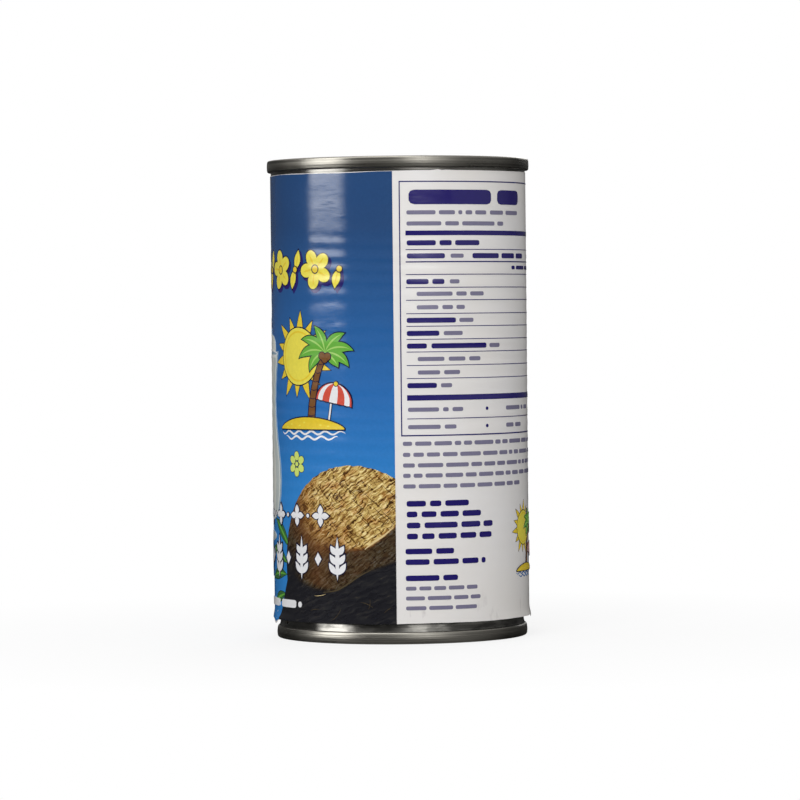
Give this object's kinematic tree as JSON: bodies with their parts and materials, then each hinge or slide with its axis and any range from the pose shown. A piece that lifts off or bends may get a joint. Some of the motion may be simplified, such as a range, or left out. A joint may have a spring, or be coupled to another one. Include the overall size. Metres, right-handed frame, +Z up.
{
  "type": "food can",
  "caption": "Shut cylindrical tin can of cream of coconut with double-seamed ends, a necked-in bottom and a wrap-round printed paper label.",
  "frame": {"origin": "centre of the circle that the can stands on, at the rim of its bottom seam", "axes": "+Z up along the can's axis; -Y is the front, where the blue panel and the white text panel meet"},
  "size_m": [0.0683, 0.0682, 0.1238],
  "materials": {
    "tinplate_wall": "bright tinplate with a soft sheen",
    "tinplate_end": "bright tinplate with a soft sheen",
    "label_paper": "printed paper under a gloss varnish"
  },
  "bodies": {
    "root": {"can_body": "tinplate_wall", "top_end": "tinplate_end", "bottom_end": "tinplate_end", "label": "label_paper"}
  },
  "joints": []
}
